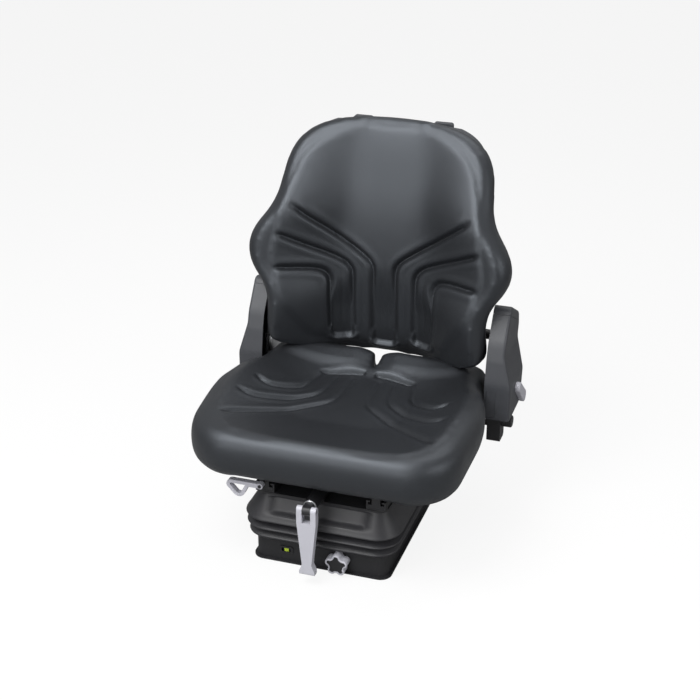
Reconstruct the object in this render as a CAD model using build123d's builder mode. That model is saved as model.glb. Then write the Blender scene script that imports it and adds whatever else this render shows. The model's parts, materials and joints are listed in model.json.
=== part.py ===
from build123d import *
import os
from math import asin, cos, hypot, radians, sin

os.makedirs("parts", exist_ok=True)

# Sprung operator seat. +Z is up, the seat faces -Y and +X is the occupant's left.
# The origin is the centre of the base's bolt pattern on the floor plane.
# The suspension stands at the top of its travel and the seat in the middle of its rails.

# Clearances
running_gap = 0.3
soft_gap = 0.3
seam_gap = 0.6

# Base tray
base_width = 264.0
base_depth = 306.0
base_wall_height = 46.0
base_sheet = 3.0
base_lip = 6.0
base_corner = 22.0
mount_spacing_x = 120.0
mount_spacing_y = 190.0
mount_hole = 9.0

# Scissor suspension
stroke = 60.0
lift_height = 106.0
arm_length = 240.0
arm_sheet = 5.0
arm_height = 22.0
pivot_inset = 41.0
arm_inset = 50.0
arm_side_gap = 4.0
pivot_diameter = 12.0
ear_sheet = 4.0
ear_width = 28.0
ear_gap = 1.0
cross_pin = 10.0
cross_pin_play = 1.0
cross_tube = 16.0
cross_tube_reach = 60.0
roller_diameter = 18.0
roller_width = 10.0
roller_pin = 8.0
roller_play = 1.3
channel_wall = 3.0
channel_side_gap = 5.0
roller_mouth_gap = 1.0
roller_web_gap = 3.0
channel_front_inset = 19.0
channel_rear_y = 90.0
buffer_diameter = 13.0
buffer_spacing = 120.0
spring_diameter = 44.0
spring_wire = 5.0
spring_turns = 4.5
spring_x = 42.0
barrel_diameter = 30.0
barrel_height = 72.0
rod_diameter = 10.0

# Bellows
bellows_wall = 2.5
pleat_rise = 9.2
lower_rim_spread = 17.0
middle_rim_spread = 21.0
upper_rim_spread = 23.0
valley_spread = 9.0
bellows_top_spread = -3.0

# Upper suspension frame
plate_width = 250.0
plate_margin = 1.0
plate_sheet = 4.0
plate_corner = 20.0

# Weight crank and lever
crank_x = -3.0
housing_diameter = 25.0
housing_overhang = 41.0
housing_length = 76.0
crank_diameter = 14.0
ring_thickness = 4.0
ring_diameter = 24.0
lever_pin_diameter = 6.0
lever_pin_reach = 13.0
lever_thickness = 14.0
lever_fork_width = 36.0
lever_slot_width = 16.0
lever_slot_depth = 32.0
lever_neck_width = 18.0
lever_foot_width = 29.0
lever_foot_height = 7.0
lever_length = 138.0
lever_head_radius = 8.0

# Star knob and weight indicator on the front panel
knob_x = 38.0
knob_z = 25.0
knob_diameter = 43.0
knob_lobe_radius = 7.5
knob_lobes = 5
knob_valley = 5.5
knob_blend = 2.5
knob_edge = 2.0
knob_depth = 20.0
knob_recess = 4.0
knob_rim = 3.0
knob_floor = 2.0
knob_insert_depth = 2.0
spindle_diameter = 10.0
spindle_tail = 14.0
bush_diameter = 22.0
bush_neck = 14.0
bush_thickness = 3.0
window_x = -65.0
window_z = 25.0
window_width = 22.0
window_height = 11.0
bezel_border = 4.0
bezel_thickness = 2.0
marker_width = 8.0

# Seat rails
rail_x = 105.0
rail_width = 36.0
rail_height = 18.0
rail_wall = 3.0
rail_lip = 7.0
rail_length = 290.0
rail_foot_height = 7.0
rail_stem_width = 16.0

# Seat pan and cushion
pan_z = 174.0
pan_sheet = 3.0
pan_depth = 11.0
pan_width = 390.0
pan_front_y = -140.0
pan_rear_y = 190.0
pan_corner = 40.0
rim_inset = 15.0
cushion_half_width = 250.0
cushion_waist_half_width = 222.0
cushion_rear_half_width = 213.0
cushion_front_y = -203.0
cushion_taper_y = 10.0
cushion_waist_y = 145.0
cushion_rear_y = 226.0
cushion_front_corner = 92.0
cushion_taper_round = 250.0
cushion_waist_round = 120.0
cushion_rear_corner = 28.0
cushion_front_roll = 1.6
cushion_height = 88.0
dish_depth = 31.0
dish_width = 220.0
dish_front_y = -60.0
dish_rear_y = 140.0
dish_side_slope = 105.0
dish_front_slope = 175.0
dish_rear_slope = 75.0
dish_corner = 60.0
dish_rim_corner = 100.0
notch_width = 28.0
notch_length = 76.0
notch_depth = 40.0

# Recline axis and side arms
axis_y = 215.0
axis_z = 272.0
pivot_bolt = 14.0
recliner_x = 219.0
recliner_sheet = 5.0
recliner_radius = 27.0
bracket_sheet = 5.0
bracket_head = 16.0
bracket_head_y = 13.0
bracket_head_z = 73.0
bracket_hub = 30.0
bracket_foot_reach = 70.0
bracket_foot_width = 70.0
bracket_foot_height = 24.0
bracket_foot_depth = 15.0
bracket_foot_shift = 5.0
nut_radius = 12.0
nut_height = 8.0
bolt_tail = 12.0
cover_wall = 3.0
cover_width = 34.0
cover_flare = 16.0
cover_edge = 5.0
flare_top = 48.0
flare_foot = -10.0
flare_round = 45.0
arm_front_round = 60.0
arm_top_round = 14.0
arm_reach = 130.0
# Corners of the arm cover seen from the side, from the recline axis, front bottom first
arm_corners = [
    (-65.0, -76.0), (-65.0, -6.0), (-57.0, 41.0), (-47.0, 74.0), (-5.0, 136.0),
    (66.0, 98.0), (71.0, 74.0), (53.0, -2.0), (40.0, -74.0),
]
cap_height = 18.0
insert_inset = 4.0
insert_rise = 4.0
insert_set_in = 0.5
insert_width = 18.0
insert_height = 54.0
insert_thickness = 4.0
block_width = 26.0
block_depth = 36.0
block_height = 54.0
block_inset = 15.0
block_gap = 1.0
block_chamfer = 4.0
side_knob_drop = 2.0
side_knob_diameter = 24.0
side_knob_length = 20.0

# Levers under the seat
loop_standoff = 14.5
loop_rail_gap = 1.5
loop_thickness = 11.0
loop_bar = 9.0
loop_reach = 76.0
loop_drop = 36.0
loop_hub = 11.4
loop_stud = 6.0
loop_join = 4.0
paddle_y = 205.0
paddle_z = 245.0
paddle_length = 74.0
paddle_width = 24.0
paddle_hub = 20.0
paddle_thickness = 9.0
paddle_droop = 40.0
paddle_stud = 8.0

# Backrest
shell_thickness = 14.0
shell_gap = 1.4
shell_bottom_z = 304.0
shell_top_z = 706.0
backrest_arch = 60.0
frame_tube = 20.0
frame_tube_z = 290.0
frame_boss = 6.0
frame_plate_width = 110.0
frame_plate_sheet = 4.5
frame_plate_top = 400.0
lug_x = 80.0
lug_width = 38.0
lug_depth = 14.0
lug_height = 34.0
lug_z = 690.0
lug_set_in = 0.7

# Heights and places that follow from the sizes above
wall_width = base_width - 2 * base_lip
wall_depth = base_depth - 2 * base_lip
wall_front_y = -wall_depth / 2
inner_arm_x = base_width / 2 - arm_inset
arm_pivot_y = base_depth / 2 - pivot_inset
channel_front_y = -(base_depth / 2 - channel_front_inset)
plate_depth = rail_length + 2 * plate_margin
channel_half = roller_diameter / 2 + roller_play + channel_wall
lower_pivot_z = base_sheet + channel_half
upper_pivot_z = lower_pivot_z + lift_height
plate_z = upper_pivot_z + channel_half
plate_top = plate_z + plate_sheet
arm_angle = asin(lift_height / arm_length)
arm_run = arm_length * cos(arm_angle)
roller_y = arm_pivot_y - arm_run
outer_arm_x = inner_arm_x + arm_sheet + arm_side_gap
channel_mouth_x = outer_arm_x + arm_sheet + channel_side_gap
roller_x = channel_mouth_x + roller_mouth_gap
channel_web_x = roller_x + roller_width + roller_web_gap
channel_back_x = channel_web_x + channel_wall
bellows_bottom = base_wall_height + soft_gap
bellows_top = plate_z - soft_gap
crank_z = plate_top + housing_diameter / 2
housing_front_y = -(rail_length / 2 + housing_overhang)
lever_y = housing_front_y - ring_thickness - lever_pin_reach
rail_top = plate_top + rail_height
pan_rim_z = pan_z + pan_depth
cushion_z = pan_rim_z + pan_sheet + soft_gap
cushion_top = cushion_z + cushion_height
bracket_x = recliner_x + recliner_sheet + 1
cover_x = bracket_x + cover_width
flare_x = cover_x + cover_flare
arm_front_y = axis_y + arm_corners[0][0]
arm_foot_z = axis_z + arm_corners[0][1]
block_y = arm_front_y + block_inset
block_top_z = arm_foot_z - block_gap
loop_y = -(rail_length / 2 + loop_standoff + loop_thickness / 2)
loop_z = rail_top + loop_rail_gap + loop_bar / 2


def save(piece, node):
    """Labels a finished piece and writes it as its own file."""
    piece.part.label = node
    export_step(piece.part, f"parts/{node}.step")


def bar_x(x_start, x_end, y, z, diameter, mode=Mode.ADD):
    """A round bar along X in the piece at hand."""
    with Locations((min(x_start, x_end), y, z)):
        Cylinder(
            diameter / 2,
            abs(x_end - x_start),
            rotation=(0, 90, 0),
            align=(Align.CENTER, Align.CENTER, Align.MIN),
            mode=mode,
        )


def bar_y(x, y_start, y_end, z, diameter, mode=Mode.ADD):
    """A round bar along Y in the piece at hand."""
    with Locations((x, max(y_start, y_end), z)):
        Cylinder(
            diameter / 2,
            abs(y_end - y_start),
            rotation=(90, 0, 0),
            align=(Align.CENTER, Align.CENTER, Align.MIN),
            mode=mode,
        )


def block(x_range, y_range, z_range, mode=Mode.ADD):
    """A plain block between three pairs of limits in the piece at hand."""
    with Locations((sum(x_range) / 2, sum(y_range) / 2, sum(z_range) / 2)):
        Box(
            abs(x_range[1] - x_range[0]),
            abs(y_range[1] - y_range[0]),
            abs(z_range[1] - z_range[0]),
            mode=mode,
        )


# Base tray with its lip, walls, bolt holes, pivot ears, knob hole and window
def make_base_tray():
    with BuildPart() as tray:
        with BuildSketch():
            RectangleRounded(base_width, base_depth, base_corner)
        extrude(amount=base_sheet)
        with BuildSketch():
            RectangleRounded(wall_width, wall_depth, base_corner - base_lip)
            offset(amount=-base_sheet, mode=Mode.SUBTRACT)
        extrude(amount=base_wall_height)
        with Locations((0, 0, base_sheet)):
            with GridLocations(mount_spacing_x, mount_spacing_y, 2, 2):
                Hole(mount_hole / 2)
        for side in (-1, 1):
            ear_x = outer_arm_x + arm_sheet + ear_gap
            with BuildSketch(Plane.YZ.offset(side * ear_x)):
                with Locations((arm_pivot_y, lower_pivot_z)):
                    Circle(ear_width / 2)
                with Locations((arm_pivot_y, (base_sheet + lower_pivot_z) / 2)):
                    Rectangle(ear_width, lower_pivot_z - base_sheet)
                with Locations((arm_pivot_y, lower_pivot_z)):
                    Circle(pivot_diameter / 2, mode=Mode.SUBTRACT)
            extrude(amount=side * ear_sheet)
        bar_y(knob_x, wall_front_y - 1, wall_front_y + base_sheet + 1, knob_z, bush_neck, Mode.SUBTRACT)
        block(
            (window_x - window_width / 2, window_x + window_width / 2),
            (wall_front_y - 1, wall_front_y + base_sheet + 1),
            (window_z - window_height / 2, window_z + window_height / 2),
            Mode.SUBTRACT,
        )
    return tray


# C channels that guide the rollers, open towards the middle
def make_channel(side, z_centre):
    with BuildPart() as channel:
        block(
            (side * channel_mouth_x, side * channel_back_x),
            (channel_front_y, channel_rear_y),
            (z_centre - channel_half, z_centre + channel_half),
        )
        block(
            (side * (channel_mouth_x - 1), side * channel_web_x),
            (channel_front_y - 1, channel_rear_y + 1),
            (z_centre - channel_half + channel_wall, z_centre + channel_half - channel_wall),
            Mode.SUBTRACT,
        )
    return channel


def make_shaft(reach, z):
    with BuildPart() as shaft:
        bar_x(-reach, reach, arm_pivot_y, z, pivot_diameter)
    return shaft


# Rubber buffers that stop the upper channels at the bottom of the travel
def make_bump_stops():
    foot_z = lower_pivot_z + channel_half
    height = lift_height - stroke - 2 * channel_half - soft_gap
    with BuildPart() as stops:
        with Locations((0, 0, foot_z)):
            with GridLocations(channel_mouth_x + channel_back_x, buffer_spacing, 2, 2):
                Cylinder(buffer_diameter / 2, height, align=(Align.CENTER, Align.CENTER, Align.MIN))
        chamfer(stops.edges().group_by(Axis.Z)[-1], buffer_diameter / 6)
    return stops


# Two welded plates with a cross tube: one end turns on a shaft, the other carries roller pins
def make_scissor_arms(inside_x, rear_z, front_z, centre_hole):
    middle_y = (arm_pivot_y + roller_y) / 2
    middle_z = (rear_z + front_z) / 2
    along = (0, -cos(arm_angle), (front_z - rear_z) / arm_length)
    tube_y = arm_pivot_y + along[1] * cross_tube_reach
    tube_z = rear_z + along[2] * cross_tube_reach
    with BuildPart() as arms:
        for side in (-1, 1):
            plate = Plane(origin=(side * inside_x, middle_y, middle_z), x_dir=along, z_dir=(side, 0, 0))
            with BuildSketch(plate):
                SlotCenterToCenter(arm_length, arm_height)
                Circle(centre_hole / 2, mode=Mode.SUBTRACT)
                with Locations((-arm_length / 2, 0)):
                    Circle(pivot_diameter / 2 + running_gap, mode=Mode.SUBTRACT)
            extrude(amount=arm_sheet)
            bar_x(
                side * (inside_x + arm_sheet), side * (roller_x + roller_width + 2),
                roller_y, front_z, roller_pin,
            )
        bar_x(-inside_x, inside_x, tube_y, tube_z, cross_tube)
    return arms


def make_rollers(z):
    with BuildPart() as rollers:
        for side in (-1, 1):
            bar_x(side * roller_x, side * (roller_x + roller_width), roller_y, z, roller_diameter)
            bar_x(
                side * roller_x, side * (roller_x + roller_width),
                roller_y, z, roller_pin + 2 * running_gap, Mode.SUBTRACT,
            )
    return rollers


def make_cross_pins():
    with BuildPart() as pins:
        for side in (-1, 1):
            bar_x(
                side * (inner_arm_x - 2), side * (outer_arm_x + arm_sheet),
                (arm_pivot_y + roller_y) / 2, (lower_pivot_z + upper_pivot_z) / 2, cross_pin,
            )
    return pins


# Coil springs between the tray floor and the upper plate, with ground ends
def make_springs():
    height = plate_z - base_sheet - 2 * soft_gap
    coil_height = height - spring_wire
    with BuildPart() as springs:
        for side in (-1, 1):
            centre = (side * spring_x, 0, base_sheet + soft_gap + spring_wire / 2)
            with BuildLine():
                coil = Helix(coil_height / spring_turns, coil_height, (spring_diameter - spring_wire) / 2, centre)
            with BuildSketch(Plane(origin=coil @ 0, z_dir=coil % 0)):
                RegularPolygon(spring_wire / 2, 6)
            sweep(path=coil, is_frenet=True)
    return springs


def make_damper_barrel():
    with BuildPart() as barrel:
        with Locations((0, 0, base_sheet)):
            Cylinder(barrel_diameter / 2, barrel_height, align=(Align.CENTER, Align.CENTER, Align.MIN))
        with Locations((0, 0, base_sheet + barrel_height)):
            Hole(rod_diameter / 2 + running_gap, depth=barrel_height - 4)
    return barrel


def make_damper_rod():
    with BuildPart() as rod:
        with Locations((0, 0, base_sheet + barrel_height - 6)):
            Cylinder(
                rod_diameter / 2,
                plate_z - base_sheet - barrel_height + 6,
                align=(Align.CENTER, Align.CENTER, Align.MIN),
            )
    return rod


# Folded rubber skirt: rings that widen and narrow, open at both ends
def make_bellows():
    rings = [
        (bellows_bottom, 0.0),
        (bellows_bottom + pleat_rise, lower_rim_spread),
        (bellows_bottom + 2 * pleat_rise, valley_spread),
        (bellows_bottom + 3 * pleat_rise, middle_rim_spread),
        (bellows_bottom + 4 * pleat_rise, valley_spread),
        (bellows_bottom + 5 * pleat_rise, upper_rim_spread),
        (bellows_top, bellows_top_spread),
    ]
    corner = base_corner - base_lip
    with BuildPart() as bellows:
        for skin, mode in ((0.0, Mode.ADD), (bellows_wall, Mode.SUBTRACT)):
            for z, spread in rings:
                out = 2 * (spread - skin)
                with BuildSketch(Plane.XY.offset(z)):
                    RectangleRounded(wall_width + out, wall_depth + out, corner + spread - skin)
            loft(ruled=True, mode=mode)
    return bellows


# Upper plate with ears for the inner arms
def make_top_frame():
    with BuildPart() as frame:
        with BuildSketch(Plane.XY.offset(plate_z)):
            RectangleRounded(plate_width, plate_depth, plate_corner)
        extrude(amount=plate_sheet)
        for side in (-1, 1):
            ear_x = inner_arm_x + arm_sheet + ear_gap
            with BuildSketch(Plane.YZ.offset(side * ear_x)):
                with Locations((arm_pivot_y, upper_pivot_z)):
                    Circle(pivot_diameter / 2 + 5)
                with Locations((arm_pivot_y, (upper_pivot_z + plate_z) / 2)):
                    Rectangle(pivot_diameter + 10, plate_z - upper_pivot_z)
                with Locations((arm_pivot_y, upper_pivot_z)):
                    Circle(pivot_diameter / 2, mode=Mode.SUBTRACT)
            extrude(amount=side * ear_sheet)
    return frame


# Crank: a housing on the plate, a shaft with a flat tongue, a bright ring and a folding lever
def make_crank_housing():
    with BuildPart() as housing:
        bar_y(crank_x, housing_front_y, housing_front_y + housing_length, crank_z, housing_diameter)
        block(
            (crank_x - housing_diameter / 2 + 2, crank_x + housing_diameter / 2 - 2),
            (-plate_depth / 2, housing_front_y + housing_length),
            (plate_top, crank_z),
        )
        bar_y(
            crank_x, housing_front_y - 1, housing_front_y + housing_length + 1, crank_z,
            crank_diameter + 2 * running_gap, Mode.SUBTRACT,
        )
    return housing


def make_crank_shaft():
    tongue = lever_slot_width - 2 * running_gap
    with BuildPart() as shaft:
        bar_y(crank_x, lever_y, housing_front_y + housing_length + 4, crank_z, crank_diameter)
        with BuildSketch(Plane.YZ.offset(crank_x - tongue / 2)):
            with Locations((lever_y, crank_z)):
                Circle(lever_head_radius)
            with Locations((lever_y + lever_pin_reach / 2, crank_z)):
                Rectangle(lever_pin_reach, 2 * lever_head_radius)
        extrude(amount=tongue)
        bar_x(
            crank_x - tongue, crank_x + tongue, lever_y, crank_z,
            lever_pin_diameter + 2 * running_gap, Mode.SUBTRACT,
        )
    return shaft


def make_crank_ring():
    with BuildPart() as ring:
        front_y = housing_front_y - ring_thickness - running_gap + 1
        back_y = housing_front_y - running_gap
        bar_y(crank_x, front_y, back_y, crank_z, ring_diameter)
        chamfer(ring.edges().group_by(Axis.Y)[0], 1)
        bar_y(crank_x, front_y - 1, back_y + 1, crank_z, crank_diameter, Mode.SUBTRACT)
    return ring


def make_weight_lever():
    head_z = crank_z + lever_head_radius
    slot_z = head_z - lever_slot_depth
    foot_z = head_z - lever_length
    half_fork = lever_fork_width / 2
    half_neck = lever_neck_width / 2
    half_foot = lever_foot_width / 2
    with BuildPart() as lever:
        with BuildSketch(Plane.XZ.offset(-lever_y - lever_thickness / 2)):
            with BuildLine():
                Polyline(
                    (crank_x - half_fork, head_z), (crank_x + half_fork, head_z),
                    (crank_x + half_fork, slot_z), (crank_x + half_neck, foot_z + 3 * lever_foot_height),
                    (crank_x + half_foot, foot_z + lever_foot_height), (crank_x + half_foot, foot_z),
                    (crank_x - half_foot, foot_z), (crank_x - half_foot, foot_z + lever_foot_height),
                    (crank_x - half_neck, foot_z + 3 * lever_foot_height), (crank_x - half_fork, slot_z),
                    close=True,
                )
            make_face()
        extrude(amount=lever_thickness)
        fillet(lever.edges().filter_by(Axis.X).group_by(Axis.Z)[-1], lever_thickness / 2 - 0.5)
        fillet(lever.edges().filter_by(Axis.X).group_by(Axis.Z)[0], 3)
        block(
            (crank_x - lever_slot_width / 2, crank_x + lever_slot_width / 2),
            (lever_y - lever_thickness, lever_y + lever_thickness),
            (slot_z, head_z + 1),
            Mode.SUBTRACT,
        )
        bar_x(
            crank_x - lever_fork_width, crank_x + lever_fork_width, lever_y, crank_z,
            lever_pin_diameter, Mode.SUBTRACT,
        )
    return lever


def make_lever_pin():
    with BuildPart() as pin:
        bar_x(crank_x - lever_fork_width / 2, crank_x + lever_fork_width / 2, lever_y, crank_z, lever_pin_diameter)
    return pin


# Star knob: a hollowed five-lobed rim, a dark star in its recess, a spindle and a bush
knob_back_y = wall_front_y - bush_thickness - running_gap
knob_front_y = knob_back_y - knob_depth
spindle_front_y = knob_front_y + knob_recess + knob_floor


def star_outline(star, inset):
    """A round body with lobes blended into it, drawn in by an inset, in the given sketch."""
    lobe_centre = knob_diameter / 2 - knob_lobe_radius
    Circle(knob_diameter / 2 - knob_valley - inset)
    with PolarLocations(lobe_centre, knob_lobes, start_angle=90):
        Circle(knob_lobe_radius - inset)
    crossing = knob_diameter / 2 - knob_valley - inset
    fillet([v for v in star.vertices() if abs(hypot(v.X, v.Y) - crossing) < 0.01], knob_blend + inset)


def make_height_knob():
    with BuildPart() as knob:
        with BuildSketch(Plane(origin=(knob_x, knob_back_y, knob_z), x_dir=(1, 0, 0), z_dir=(0, -1, 0))) as star:
            star_outline(star, 0)
        extrude(amount=knob_depth)
        fillet(knob.faces().sort_by(Axis.Y)[0].edges(), knob_edge)
        front = Plane(origin=(knob_x, knob_front_y, knob_z), x_dir=(1, 0, 0), z_dir=(0, -1, 0))
        with BuildSketch(front) as recess:
            star_outline(recess, knob_rim)
        extrude(amount=-knob_recess, mode=Mode.SUBTRACT)
        bar_y(knob_x, knob_back_y + 1, spindle_front_y, knob_z, spindle_diameter, Mode.SUBTRACT)
    return knob


def make_knob_insert():
    face_y = knob_front_y + knob_recess
    with BuildPart() as insert:
        with BuildSketch(Plane(origin=(knob_x, face_y, knob_z), x_dir=(1, 0, 0), z_dir=(0, -1, 0))) as star:
            star_outline(star, knob_rim + running_gap)
        extrude(amount=knob_recess - knob_insert_depth)
    return insert


def make_knob_spindle():
    with BuildPart() as spindle:
        bar_y(knob_x, spindle_front_y, wall_front_y + base_sheet + spindle_tail, knob_z, spindle_diameter)
    return spindle


def make_knob_bush():
    with BuildPart() as bush:
        bar_y(knob_x, wall_front_y - bush_thickness, wall_front_y, knob_z, bush_diameter)
        bar_y(knob_x, wall_front_y, wall_front_y + base_sheet, knob_z, bush_neck)
        bar_y(
            knob_x, wall_front_y - bush_thickness - 1, wall_front_y + base_sheet + 1, knob_z,
            spindle_diameter + 2 * running_gap, Mode.SUBTRACT,
        )
    return bush


def make_indicator_bezel():
    with BuildPart() as bezel:
        with BuildSketch(Plane(origin=(window_x, wall_front_y, window_z), x_dir=(1, 0, 0), z_dir=(0, -1, 0))):
            RectangleRounded(window_width + bezel_border, window_height + bezel_border, 3)
            RectangleRounded(window_width - 4, window_height - 3, 2, mode=Mode.SUBTRACT)
        extrude(amount=bezel_thickness)
        block(
            (window_x - window_width / 2 + 2, window_x + window_width / 2 - 2),
            (wall_front_y + base_sheet, wall_front_y + base_sheet + 1.5),
            (window_z - window_height / 2 - 3, window_z + window_height / 2 + 3),
        )
    return bezel


def make_weight_marker():
    with BuildPart() as marker:
        block(
            (window_x - marker_width / 2, window_x + marker_width / 2),
            (wall_front_y + running_gap, wall_front_y + base_sheet - running_gap),
            (window_z - window_height / 2 + running_gap, window_z + window_height / 2 - running_gap),
        )
    return marker


# Seat rails: a lipped channel on the plate and a T bar under the pan that runs in it
def make_lower_rail(side):
    with BuildPart() as rail:
        with BuildSketch(Plane.XZ.offset(-rail_length / 2)):
            with Locations((side * rail_x, plate_top + rail_height / 2)):
                Rectangle(rail_width, rail_height)
                Rectangle(rail_width - 2 * rail_wall, rail_height - 2 * rail_wall, mode=Mode.SUBTRACT)
            with Locations((side * rail_x, plate_top + rail_height - rail_wall / 2)):
                Rectangle(rail_width - 2 * rail_lip, 2 * rail_wall, mode=Mode.SUBTRACT)
        extrude(amount=rail_length)
    return rail


def make_upper_rail(side):
    foot_z = plate_top + rail_wall + running_gap
    foot_width = rail_width - 2 * rail_wall - 2 * running_gap
    with BuildPart() as rail:
        with BuildSketch(Plane.XZ.offset(-rail_length / 2)):
            with Locations((side * rail_x, foot_z + rail_foot_height / 2)):
                Rectangle(foot_width, rail_foot_height)
            with Locations((side * rail_x, (foot_z + pan_z) / 2)):
                Rectangle(rail_stem_width, pan_z - foot_z)
        extrude(amount=rail_length)
        if side < 0:
            bar_y(-rail_x, -rail_length / 2, loop_y - loop_thickness / 2 - 2, loop_z, loop_stud)
    return rail


# Seat pan: a pressed tub with a wide rim under the cushion
def cushion_plan(inset):
    """The cushion's outline seen from above, drawn in by an inset, and further at the front."""
    corners = [
        (cushion_half_width - inset, cushion_front_y + cushion_front_roll * inset),
        (cushion_half_width - inset, cushion_taper_y),
        (cushion_waist_half_width - inset, cushion_waist_y),
        (cushion_rear_half_width - inset, cushion_rear_y - inset),
    ]
    left = [(-x, y) for x, y in reversed(corners)]
    rear_corner = max(cushion_rear_corner - inset, cushion_rear_corner / 3)
    with BuildSketch() as plan:
        with BuildLine():
            Polyline(*corners, *left, close=True)
        make_face()
        rows = plan.vertices().group_by(Axis.Y)
        fillet(rows[0], cushion_front_corner - inset)
        fillet(rows[1], cushion_taper_round)
        fillet(rows[2], cushion_waist_round)
        fillet(rows[3], rear_corner)
    return plan.sketch


def make_seat_pan():
    tub_length = pan_rear_y - pan_front_y
    tub_y = (pan_rear_y + pan_front_y) / 2
    with BuildPart() as pan:
        with BuildSketch(Plane.XY.offset(pan_rim_z)):
            add(cushion_plan(rim_inset))
        extrude(amount=pan_sheet)
        with BuildSketch(Plane.XY.offset(pan_z)):
            with Locations((0, tub_y)):
                RectangleRounded(pan_width, tub_length, pan_corner)
        extrude(amount=pan_depth)
        with BuildSketch(Plane.XY.offset(pan_z + pan_sheet)):
            with Locations((0, tub_y)):
                RectangleRounded(pan_width - 2 * pan_sheet, tub_length - 2 * pan_sheet, pan_corner - pan_sheet)
        extrude(amount=pan_depth, mode=Mode.SUBTRACT)
    return pan


# Cushion stations: share of the height and inset of the outline
cushion_stations = [(0.0, 14.0), (0.13, 4.0), (0.38, 0.0), (0.66, 1.0), (0.84, 6.0), (0.95, 16.0), (1.0, 30.0)]


# Cushion: swollen sides, a front roll, a dished middle and a notch between the two rear pads
def make_seat_cushion():
    dish_z = cushion_top - dish_depth
    rim_width = dish_width + 2 * dish_side_slope
    rim_front_y = dish_front_y - dish_front_slope
    rim_rear_y = dish_rear_y + dish_rear_slope
    with BuildPart() as cushion:
        for share, inset in cushion_stations:
            with BuildSketch(Plane.XY.offset(cushion_z + share * cushion_height)):
                add(cushion_plan(inset))
        loft()
        with BuildSketch(Plane.XY.offset(dish_z)):
            with Locations((0, (dish_front_y + dish_rear_y) / 2)):
                RectangleRounded(dish_width, dish_rear_y - dish_front_y, dish_corner)
        with BuildSketch(Plane.XY.offset(cushion_top + 2)):
            with Locations((0, (rim_front_y + rim_rear_y) / 2)):
                RectangleRounded(rim_width, rim_rear_y - rim_front_y, dish_rim_corner)
        loft(mode=Mode.SUBTRACT)
        with BuildSketch(Plane.XY.offset(cushion_top)):
            with BuildLine():
                Polyline(
                    (-notch_width / 2, cushion_rear_y + 2), (notch_width / 2, cushion_rear_y + 2),
                    (0, cushion_rear_y - notch_length), close=True,
                )
            make_face()
        extrude(amount=-notch_depth, mode=Mode.SUBTRACT)
    return cushion


# Side arms: steel bracket, hollow cover with a flared foot, cap, inset panel, foot block and knob
def arm_profile(sketch):
    """The arm's rounded outline seen from the side, in the given sketch."""
    Polygon(*[(axis_y + y, axis_z + z) for y, z in arm_corners], align=None)
    for index, (y, z) in enumerate(arm_corners):
        corner = [v for v in sketch.vertices() if hypot(v.X - axis_y - y, v.Y - axis_z - z) < 0.01]
        if index in (1, 2, 3):
            fillet(corner, arm_front_round)
        if index in (4, 5, 6, 7):
            fillet(corner, arm_top_round)


def seam_plane(gap):
    """The plane under the cap, square to the arm's sloping top."""
    front, rear = [(axis_y + y, axis_z + z) for y, z in arm_corners[4:6]]
    along = Vector(0, rear[0] - front[0], rear[1] - front[1]).normalized()
    up = Vector(1, 0, 0).cross(along)
    return Plane(origin=Vector(0, *front) - up * (cap_height + gap), x_dir=(1, 0, 0), z_dir=up)


def make_side_bracket(side):
    foot_y = axis_y - bracket_foot_shift
    foot_z = pan_z - bracket_sheet
    with BuildPart() as bracket:
        with BuildSketch(Plane.YZ.offset(side * bracket_x)):
            with Locations((axis_y, axis_z)):
                Circle(bracket_hub)
            with Locations((axis_y + bracket_head_y, axis_z + bracket_head_z)):
                Circle(bracket_head)
            with Locations((foot_y, foot_z + bracket_foot_height / 2)):
                Rectangle(bracket_foot_width, bracket_foot_height)
            make_hull()
            with Locations((axis_y, axis_z)):
                Circle(pivot_bolt / 2, mode=Mode.SUBTRACT)
        extrude(amount=side * bracket_sheet)
        foot_x = bracket_x + bracket_sheet
        foot_front_y = foot_y - bracket_foot_width / 2
        block(
            (side * (foot_x - bracket_foot_reach), side * foot_x),
            (foot_front_y, foot_front_y + bracket_foot_depth),
            (foot_z, pan_z),
        )
    return bracket


def arm_blank(side, inset):
    """The arm's outer form, drawn in by an inset: the side outline met by a flared front outline."""
    start_x = bracket_x - inset
    front = [
        (start_x, arm_foot_z + inset), (flare_x - inset, arm_foot_z + inset),
        (flare_x - inset, axis_z + flare_foot), (cover_x - inset, axis_z + flare_top),
        (cover_x - inset, axis_z + arm_corners[4][1]), (start_x, axis_z + arm_corners[4][1]),
    ]
    with BuildPart() as blank:
        with BuildSketch(Plane.YZ.offset(side * start_x)) as outline:
            arm_profile(outline)
            if inset:
                offset(amount=-inset)
        extrude(amount=side * (flare_x - start_x))
        with BuildSketch(Plane.XZ.offset(-axis_y - arm_reach)) as shape:
            Polygon(*[(side * x, z) for x, z in front], align=None)
            bends = [v for v in shape.vertices() if axis_z + flare_foot - 1 < v.Y < axis_z + flare_top + 1]
            fillet(bends, flare_round)
        extrude(amount=2 * arm_reach, mode=Mode.INTERSECT)
        if not inset:
            outer = [e for e in blank.edges() if abs(e.center().X) > bracket_x + cover_edge]
            rims = [e for e in outer if abs((e % 0.5).X) < 0.9 and abs((e % 0.5).Y) < 0.99]
            fillet(rims, cover_edge)
    return blank


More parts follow.
